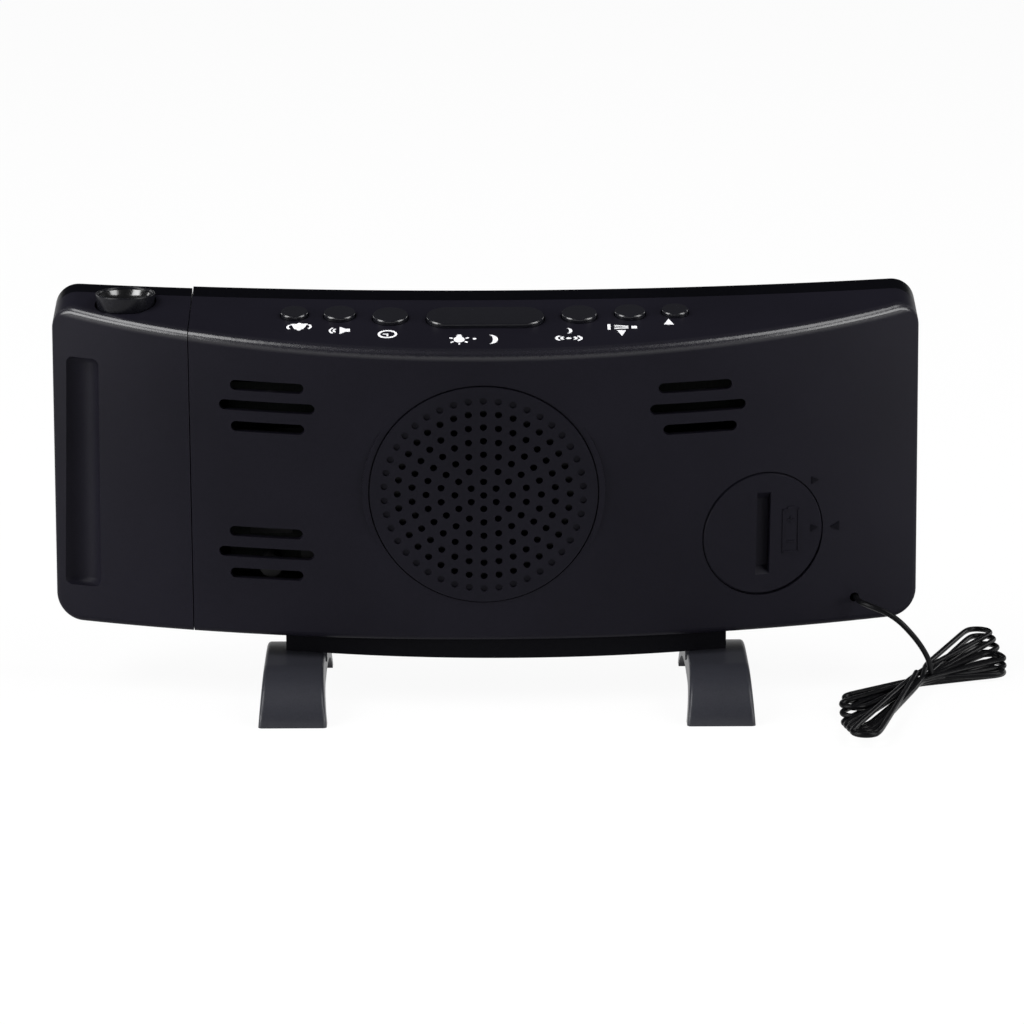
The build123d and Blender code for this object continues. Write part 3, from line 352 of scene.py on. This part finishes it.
def finishMesh(name, mesh, material, body, smooth=False):
    bmesh.ops.remove_doubles(mesh, verts=mesh.verts, dist=1e-6)
    bmesh.ops.recalc_face_normals(mesh, faces=mesh.faces)
    data = bpy.data.meshes.new(name)
    mesh.to_mesh(data)
    mesh.free()
    data.materials.append(finishes[material])
    for polygon in data.polygons:
        polygon.use_smooth = smooth
    piece = bpy.data.objects.new(name, data)
    bpy.context.scene.collection.objects.link(piece)
    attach(piece, body)
    return piece


# flat shapes, which layMarks thickens and lays on a surface
def disc(mesh, x, y, radius, segments=28, turn=0.0):
    matrix = Matrix.Translation((x, y, 0)) @ Matrix.Rotation(turn, 4, "Z")
    made = bmesh.ops.create_circle(mesh, cap_ends=True, radius=radius, segments=segments, matrix=matrix)
    return made["verts"]


def bar(mesh, x, y, width, height, turn=0.0):
    verts = disc(mesh, x, y, math.sqrt(0.5), 4, math.pi / 4)
    centre = Matrix.Translation((-x, -y, 0))
    bmesh.ops.scale(mesh, vec=(width, height, 1), space=centre, verts=verts)
    if turn:
        bmesh.ops.rotate(mesh, cent=(x, y, 0), matrix=Matrix.Rotation(turn, 3, "Z"), verts=verts)
    return verts


def arcBand(mesh, inner, outer, start, sweep, steps=18):
    way = Vector((math.cos(start), math.sin(start), 0))
    first = [mesh.verts.new(way * radius) for radius in (inner, outer)]
    bmesh.ops.spin(
        mesh,
        geom=[*first, mesh.edges.new(first)],
        cent=(0, 0, 0),
        axis=(0, 0, 1),
        angle=sweep,
        steps=steps,
        use_merge=sweep == fullTurn,
        use_duplicate=False,
    )


def layMarks(mesh, surface, thickness, sink):
    bmesh.ops.remove_doubles(mesh, verts=mesh.verts, dist=1e-5)
    for face in mesh.faces:
        face.normal_update()
        if face.normal.z < 0:
            face.normal_flip()
    made = bmesh.ops.extrude_face_region(mesh, geom=mesh.faces[:])
    top = [item for item in made["geom"] if isinstance(item, bmesh.types.BMVert)]
    bmesh.ops.translate(mesh, verts=top, vec=(0, 0, 1))
    for vert in mesh.verts:
        height = thickness if vert.co.z > 0.5 else -sink
        vert.co = surface(vert.co.x, vert.co.y, height) * mm


# each mark is drawn inside a square one unit wide
def drawBell(mesh):
    disc(mesh, 0, 0.14, 0.20, 24)
    skirt = bar(mesh, 0, -0.08, 0.40, 0.44)
    for vert in skirt:
        if vert.co.y < -0.1:
            vert.co.x *= 1.5
    bar(mesh, 0, -0.32, 0.66, 0.10)
    disc(mesh, 0, -0.42, 0.08, 14)
    disc(mesh, 0, 0.38, 0.07, 14)
    for start in (-0.6, math.pi - 0.6):
        arcBand(mesh, 0.40, 0.49, start, 1.2, 10)


def drawSpeaker(mesh):
    bar(mesh, -0.38, 0, 0.24, 0.36)
    horn = bar(mesh, -0.16, 0, 0.28, 0.40)
    for vert in horn:
        if vert.co.x > -0.16:
            vert.co.y *= 2.2
    for radius in (0.22, 0.40):
        arcBand(mesh, radius, radius + 0.09, -0.85, 1.7)


def drawClock(mesh):
    arcBand(mesh, 0.38, 0.50, 0, fullTurn, 32)
    bar(mesh, 0, 0.12, 0.10, 0.30)
    bar(mesh, 0.10, 0, 0.26, 0.10)


def drawMoon(mesh):
    for vert in disc(mesh, 0.14, 0, 0.5, 36):
        if vert.co.x > 0.14:
            vert.co.x = 0.14 - (vert.co.x - 0.14) * 0.40


def drawBulb(mesh):
    disc(mesh, 0, -0.02, 0.27, 28)
    bar(mesh, 0, -0.32, 0.26, 0.16)
    bar(mesh, 0, -0.45, 0.18, 0.08)
    for step in range(5):
        angle = math.radians(-20 + 55 * step)
        bar(mesh, 0.42 * math.cos(angle), -0.02 + 0.42 * math.sin(angle), 0.16, 0.08, angle)


def drawWaves(mesh):
    disc(mesh, 0, 0, 0.10, 16)
    for radius in (0.22, 0.40):
        for start in (-0.75, math.pi - 0.75):
            arcBand(mesh, radius, radius + 0.09, start, 1.5, 12)


def drawBeam(mesh):
    bar(mesh, -0.40, 0, 0.18, 0.46)
    for spread in (-0.5, 0.0, 0.5):
        bar(mesh, 0.02, 0.50 * spread, 0.46, 0.10, spread * 0.6)
    bar(mesh, 0.42, 0, 0.10, 1.0)


def drawPoint(mesh):
    disc(mesh, 0, 0, 0.5, 18)


def drawArrow(mesh):
    arrow = disc(mesh, 0, 0, 1, 3)
    for vert in arrow:
        vert.co.x *= 0.5 / math.cos(math.pi / 6)
        vert.co.y = -0.5 + (vert.co.y + 0.5) / 1.5


deckMarks = [  # drawing, middle X and Y, width, depth; a negative depth turns it over
    (drawBell, 40.2, 4.8, 5.6, 3.9),
    (drawSpeaker, 31.5, 7.1, 4.6, 3.9),
    (drawClock, 21.1, 9.4, 4.2, 3.9),
    (drawBulb, 5.7, 12.6, 4.4, 5.1),
    (drawPoint, 2.4, 12.2, 0.8, 0.8),
    (drawMoon, -1.3, 12.5, 3.6, 4.4),
    (drawMoon, -17.8, 8.2, 2.2, 2.6),
    (drawWaves, -17.8, 11.9, 6.0, 3.6),
    (drawBeam, -29.3, 6.1, 6.6, 2.6),
    (drawArrow, -29.2, 9.1, 1.9, 2.7),
    (drawArrow, -39.5, 3.0, 2.1, -2.8),
]


# how far the marks stand out of a surface, and how far they are sunk in it
markHeights = dict(deck=(0.07, 0.02), arrows=(0.14, 0.02), cell=(0.18, 0.02), digits=(0.06, 0.05))


def stamp(mesh, draw, x, y, width, depth, turn=0.0):
    before = set(mesh.verts)
    draw(mesh)
    verts = [vert for vert in mesh.verts if vert not in before]
    bmesh.ops.scale(mesh, vec=(width, depth, 1), verts=verts)
    bmesh.ops.rotate(mesh, cent=(0, 0, 0), matrix=Matrix.Rotation(turn, 3, "Z"), verts=verts)
    bmesh.ops.translate(mesh, vec=(x, y, 0), verts=verts)


def makeDeckMarks():
    mesh = bmesh.new()
    for draw, x, y, width, depth in deckMarks:
        stamp(mesh, draw, x, y, width, depth)
    layMarks(mesh, onDeck, *markHeights["deck"])
    finishMesh("deckMarks", mesh, "whitePrint", "case")


makeDeckMarks()
print("marks on the deck:", len(deckMarks))

# arrows that show how the battery cover turns: middle X and Z, width, length, turn in degrees
backArrows = dict(
    case=[(-71.75, 48.2, 1.63, 1.6, 90), (-76.2, 37.3, 2.0, 1.95, -90)],
    cover=[(-71.6, 37.5, 1.83, 1.5, 90)],
)
# a plain cell moulded on the cover; signs are its plus and minus, off the middle by a share of the height
cellOutline = dict(
    x=-66.4,
    z=37.3,
    width=3.4,
    height=9.6,
    line=0.32,
    nub=dict(width=1.5, height=0.6, above=0.4),
    sign=1.5,
    signsAt=0.26,
)


def makeBackMarks():
    for name, body, surface, spots in (
        ("lockMarks", "case", onBack, backArrows["case"]),
        ("coverMark", "cell_cover", onCover, backArrows["cover"]),
    ):
        mesh = bmesh.new()
        for x, z, width, length, turn in spots:
            stamp(mesh, drawArrow, x, z, width, length, math.radians(turn))
        layMarks(mesh, surface, *markHeights["arrows"])
        finishMesh(name, mesh, "mark", body)


def makeCellOutline():
    mesh = bmesh.new()
    cell = cellOutline
    x, z, line, nub, sign = (cell[part] for part in ("x", "z", "line", "nub", "sign"))
    for side in (-0.5, 0.5):
        bar(mesh, x + side * cell["width"], z, line, cell["height"] + line)
        bar(mesh, x, z + side * cell["height"], cell["width"] + line, line)
    bar(mesh, x, z + cell["height"] / 2 + nub["above"], nub["width"], nub["height"])
    plusZ = z + cell["height"] * cell["signsAt"]
    minusZ = z - cell["height"] * cell["signsAt"]
    bar(mesh, x, plusZ, sign, line)
    bar(mesh, x, plusZ, line, sign)
    bar(mesh, x, minusZ, sign, line)
    layMarks(mesh, onCover, *markHeights["cell"])
    finishMesh("cellOutline", mesh, "case", "cell_cover")


makeBackMarks()
makeCellOutline()
print("marks on the back")

# lit digits behind the window
display = dict(
    x=-10.0,
    z=51.3,
    faceY=-8.9,
    text="1008",
    offsets=(-29.0, -11.0, 11.0, 29.0),  # from the display's middle to each digit's
    reachX=5.6,  # from a digit's middle to its upright segments
    reachZ=5.7,  # from a digit's middle to the middle of an upright segment
    segment=(8.6, 1.8),
    dot=dict(radius=0.9, height=5.0, sides=20),
)
segmentPlaces = {  # how many reaches across and up, turn in degrees
    "a": (0, 2, 0),
    "b": (1, 1, 90),
    "c": (1, -1, 90),
    "d": (0, -2, 0),
    "e": (-1, -1, 90),
    "f": (-1, 1, 90),
    "g": (0, 0, 0),
}
segmentsOfDigit = {"0": "abcdef", "1": "bc", "8": "abcdefg"}


def onDigits(x, z, height):
    return Vector((x, display["faceY"] - height, z))


def makeLitDigits():
    mesh = bmesh.new()
    for offset, digit in zip(display["offsets"], display["text"]):
        for segment in segmentsOfDigit[digit]:
            across, up, turn = segmentPlaces[segment]
            x = display["x"] + offset + across * display["reachX"]
            z = display["z"] + up * display["reachZ"]
            bar(mesh, x, z, *display["segment"], math.radians(turn))
    dot = display["dot"]
    for side in (-1, 1):
        disc(mesh, display["x"], display["z"] + side * dot["height"], dot["radius"], dot["sides"])
    layMarks(mesh, onDigits, *markHeights["digits"])
    finishMesh("litDigits", mesh, "litDigit", "case")


makeLitDigits()
print("digits lit")

# turned parts of the projector, about one upright axis: profiles of radius and Z
optic = dict(
    x=78.6,
    y=-11.2,
    steps=96,
    sharpAngle=32,  # degrees from which an edge is softened
    softEdge=0.05,
    ring=[
        (4.68, 79.0), (5.4, 79.0), (6.0, 81.1), (6.0, 82.0), (5.4, 82.0), (5.4, 84.5), (6.2, 84.5),
        (6.5, 87.7), (6.42, 87.85), (6.28, 87.9), (6.02, 87.88), (5.86, 87.6), (5.85, 85.3), (4.68, 85.3),
    ],
    barrel=[
        (3.6, 73.0), (4.6, 73.0), (4.6, 85.35), (5.75, 85.35), (5.75, 87.4), (5.62, 87.5), (5.5, 87.46),
        (5.24, 87.0), (4.86, 86.5), (4.3, 86.04), (3.6, 85.7),
    ],
    lens=dict(radius=3.6, low=84.9, edge=85.4, crown=0.8, rings=10),
)


def turned(name, profile, material, body, node, closed=True):
    mesh = bmesh.new()
    verts = [mesh.verts.new((optic["x"] + radius, optic["y"], z)) for radius, z in profile]
    edges = [mesh.edges.new(pair) for pair in zip(verts, verts[1:])]
    if closed:
        edges.append(mesh.edges.new((verts[-1], verts[0])))
    bmesh.ops.spin(
        mesh,
        geom=[*verts, *edges],
        cent=(optic["x"], optic["y"], 0),
        axis=(0, 0, 1),
        angle=fullTurn,
        steps=optic["steps"],
        use_merge=True,
        use_duplicate=False,
    )
    bmesh.ops.remove_doubles(mesh, verts=mesh.verts, dist=1e-4)
    least = math.radians(optic["sharpAngle"])
    sharp = [edge for edge in mesh.edges if edge.is_manifold and edge.calc_face_angle() > least]
    bmesh.ops.bevel(
        mesh,
        geom=sharp,
        offset=optic["softEdge"],
        affect="EDGES",
        segments=2,
        profile=0.5,
        material=-1,
    )
    bmesh.ops.scale(mesh, vec=(mm, mm, mm), verts=mesh.verts)
    piece = finishMesh(name, mesh, material, body, smooth=True)
    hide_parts(node)


def lensProfile():
    lens = optic["lens"]
    bend = (lens["radius"] ** 2 + lens["crown"] ** 2) / (2 * lens["crown"])
    profile = []
    for step in range(lens["rings"] + 1):
        radius = lens["radius"] * step / lens["rings"]
        profile.append((radius, lens["edge"] + lens["crown"] - bend + math.sqrt(bend**2 - radius**2)))
    return profile + [(lens["radius"], lens["low"]), (0, lens["low"])]


def makeProjectorTop():
    turned("focusRing", optic["ring"], "ring", "ring", "focus_ring")
    turned("lensBarrel", optic["barrel"], "barrel", "barrel", "lens_barrel")
    turned("projectorLens", lensProfile(), "optics", "barrel", "projection_lens", closed=False)


makeProjectorTop()
print("projector top turned")

# wire aerial: a lead and a hank wound in a figure of eight, one cord
wire = dict(
    radius=0.625,
    lead=[
        (-80.9, -8.0, 20.7),
        (-81.0, 0.4, 20.7),
        (-84.0, 3.6, 20.2),
        (-87.4, 4.8, 19.1),
        (-90.2, 4.8, 17.2),
        (-92.8, 3.9, 14.3),
        (-95.2, 2.2, 11.0),
        (-97.2, 0.3, 7.3),
        (-98.0, -1.5, 4.4),
        (-98.2, -3.1, 2.1),
        (-99.2, -4.7, 1.4),
    ],
    crossing=(-95.6, -1.8),
    lanes=4,  # strands side by side where they cross
    drift=(-0.42, 0.90),  # from one lane to the next
    dip=0.3,
    rise=0.2,
    fold=3.0,  # radius of the bend at a loop's end
    foldSteps=4,
    near=[(-80.3, 40.6), (-78.4, 20.0), (-80.8, 11.0)],  # the loops' ends lie along these two curves
    far=[(-111.8, -36.0), (-114.2, -20.0), (-112.0, -9.4)],
    legs=(0.16, 0.36, 0.58, 0.80),  # shares of the way from the crossing to a loop's end
    turns=[  # share of the way round the fan, height
        (1.00, 1.5), (0.90, 0.66), (0.79, 1.5), (0.66, 2.3), (0.52, 1.5),
        (0.38, 0.66), (0.24, 1.5), (0.11, 2.3), (0.00, 2.9),
    ],
)


def foldMiddle(places, share):
    first, middle, last = (Vector(place) for place in places)
    return first.lerp(middle, share).lerp(middle.lerp(last, share), share)


def loopPoints(places, share, side, start, height):
    middle = foldMiddle(places, share)
    heading = (middle - start).normalized() * wire["fold"]
    aside = Vector((-heading.y, heading.x)) * side
    points = [start.lerp(middle, along) + aside * along for along in wire["legs"]]
    for step in range(wire["foldSteps"] + 1):
        angle = math.pi * step / wire["foldSteps"]
        points.append(middle + aside * math.cos(angle) + heading * math.sin(angle))
    points += [start.lerp(middle, along) - aside * along for along in reversed(wire["legs"])]
    return [(point.x, point.y, height) for point in points]


def hankPoints():
    points = []
    turns = wire["turns"]
    heights = [height for share, height in turns]
    for number, (share, height) in enumerate(turns):
        lane = number % wire["lanes"] - (wire["lanes"] - 1) / 2
        start = Vector(wire["crossing"]) + Vector(wire["drift"]) * lane
        following = heights[min(number + 1, len(turns) - 1)]
        points += loopPoints(wire["far"], share, 1, start, height)
        points.append((*start, max(height - wire["dip"], min(heights))))
        points += loopPoints(wire["near"], share, -1, start, height)
        points.append((*start, (height + following) / 2 + wire["rise"]))
    return points[1:]  # the lead already ends beside the first point


def makeAerial():
    data = bpy.data.curves.new("aerialWire", "CURVE")
    data.dimensions = "3D"
    data.bevel_depth = wire["radius"] * mm
    data.bevel_resolution = 4
    data.resolution_u = 6
    data.use_fill_caps = True
    spline = data.splines.new("NURBS")
    points = wire["lead"] + hankPoints()
    spline.points.add(len(points) - 1)
    for point, place in zip(spline.points, points):
        point.co = (*(coordinate * mm for coordinate in place), 1)
    spline.order_u = 3
    spline.use_endpoint_u = True
    data.materials.append(finishes["cord"])
    piece = bpy.data.objects.new("aerialWire", data)
    bpy.context.scene.collection.objects.link(piece)
    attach(piece, "case")
    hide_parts("antenna_lead", "antenna_hank")


makeAerial()


# studio: floor, world, lamps and camera
floorPaper = dict(half=4, colour=(0.8, 0.8, 0.8), shown=(1.0, 1.0, 1.0), share=0.94)
skyStops = [(0.02, (0.9, 0.9, 0.9)), (0.10, (0.05, 0.05, 0.052))]  # height of the direction, colour
# name, place, aim, size, turn in degrees, watts; left and right are as seen from behind the clock
lamps = [
    ("leftBox", (0.86, 0.30, 1.04), (0.0, 0.0, 0.07), (0.95, 0.62), -45, 18.0),
    ("rightBox", (-0.86, 0.30, 1.04), (0.0, 0.0, 0.07), (0.95, 0.62), 45, 13.0),
    ("leftSide", (1.62, 0.62, 0.34), (0.0, 0.0, 0.04), (1.0, 0.6), 0, 22.0),
    ("rightSide", (-1.62, 0.62, 0.34), (0.0, 0.0, 0.04), (1.0, 0.6), 0, 18.0),
    ("leftFront", (1.45, -1.25, 0.40), (0.0, 0.0, 0.05), (0.6, 0.4), 0, 3.0),
    ("rightFront", (-1.45, -1.25, 0.40), (0.0, 0.0, 0.05), (0.6, 0.4), 0, 3.0),
]
shot = dict(
    target=(-5.58, 0.0, 40.94),  # millimetres
    azimuth=0.398,
    elevation=14.4,
    roll=-0.166,
    distance=1.067,
    lens=171.65,
)


def makeFloor():
    mesh = bmesh.new()
    bmesh.ops.create_grid(mesh, x_segments=1, y_segments=1, size=floorPaper["half"])
    data = bpy.data.meshes.new("floor")
    mesh.to_mesh(data)
    mesh.free()
    material = bpy.data.materials.new("floorPaper")
    shader = Shader(material)
    shader.tree.nodes.remove(shader.surface)
    paper = shader.add("ShaderNodeBsdfDiffuse", {}, {"Color": floorPaper["colour"]})
    white = shader.add("ShaderNodeEmission", {}, {"Color": floorPaper["shown"], "Strength": 1.0})
    seen = shader.add("ShaderNodeLightPath", output="Is Camera Ray")
    mirrored = shader.add("ShaderNodeLightPath", output="Is Glossy Ray")
    passed = shader.add("ShaderNodeLightPath", output="Is Transmission Ray")
    share = (seen + mirrored + passed).clamped() * floorPaper["share"]
    mixed = shader.add("ShaderNodeMixShader", {}, {0: share, 1: paper, 2: white})
    shader.feed(shader.tree.nodes["Material Output"].inputs["Surface"], mixed)
    data.materials.append(material)
    floor = bpy.data.objects.new("floor", data)
    bpy.context.scene.collection.objects.link(floor)


def makeWorld():
    world = bpy.data.worlds.new("studio")
    bpy.context.scene.world = world
    shader = Shader(world)
    direction = shader.add("ShaderNodeTexCoord", output="Generated")
    height = shader.add("ShaderNodeSeparateXYZ", {}, {0: direction}, 2)
    sky = shader.add("ShaderNodeValToRGB", {"stops": skyStops}, {0: height})
    shader.feed(shader.tree.nodes["Background"].inputs["Color"], sky)


def makeLamps():
    for name, place, aim, size, turn, watts in lamps:
        data = bpy.data.lights.new(name, "AREA")
        data.shape = "RECTANGLE"
        data.size, data.size_y = size
        data.energy = watts
        lamp = bpy.data.objects.new(name, data)
        lamp.location = place
        aimed = (Vector(aim) - Vector(place)).to_track_quat("-Z", "Y").to_matrix()
        lamp.rotation_euler = (aimed @ Matrix.Rotation(math.radians(turn), 3, "Z")).to_euler()
        bpy.context.scene.collection.objects.link(lamp)


def makeCamera():
    azimuth, elevation, roll = (math.radians(shot[angle]) for angle in ("azimuth", "elevation", "roll"))
    level = Vector((math.sin(azimuth), math.cos(azimuth), 0)) * math.cos(elevation)
    away = level + Vector((0, 0, math.sin(elevation)))
    data = bpy.data.cameras.new("camera")
    data.sensor_width = 36.0
    data.lens = shot["lens"]
    data.clip_start = 0.01
    camera = bpy.data.objects.new("camera", data)
    camera.location = Vector(shot["target"]) * mm + away * shot["distance"]
    look = (-away).to_track_quat("-Z", "Y").to_matrix().to_4x4()
    camera.rotation_euler = (look @ Matrix.Rotation(roll, 4, "Z")).to_euler()
    bpy.context.scene.collection.objects.link(camera)
    bpy.context.scene.camera = camera


makeFloor()
makeWorld()
makeLamps()
makeCamera()
bpy.context.scene.view_settings.view_transform = "Standard"
print("stage set")
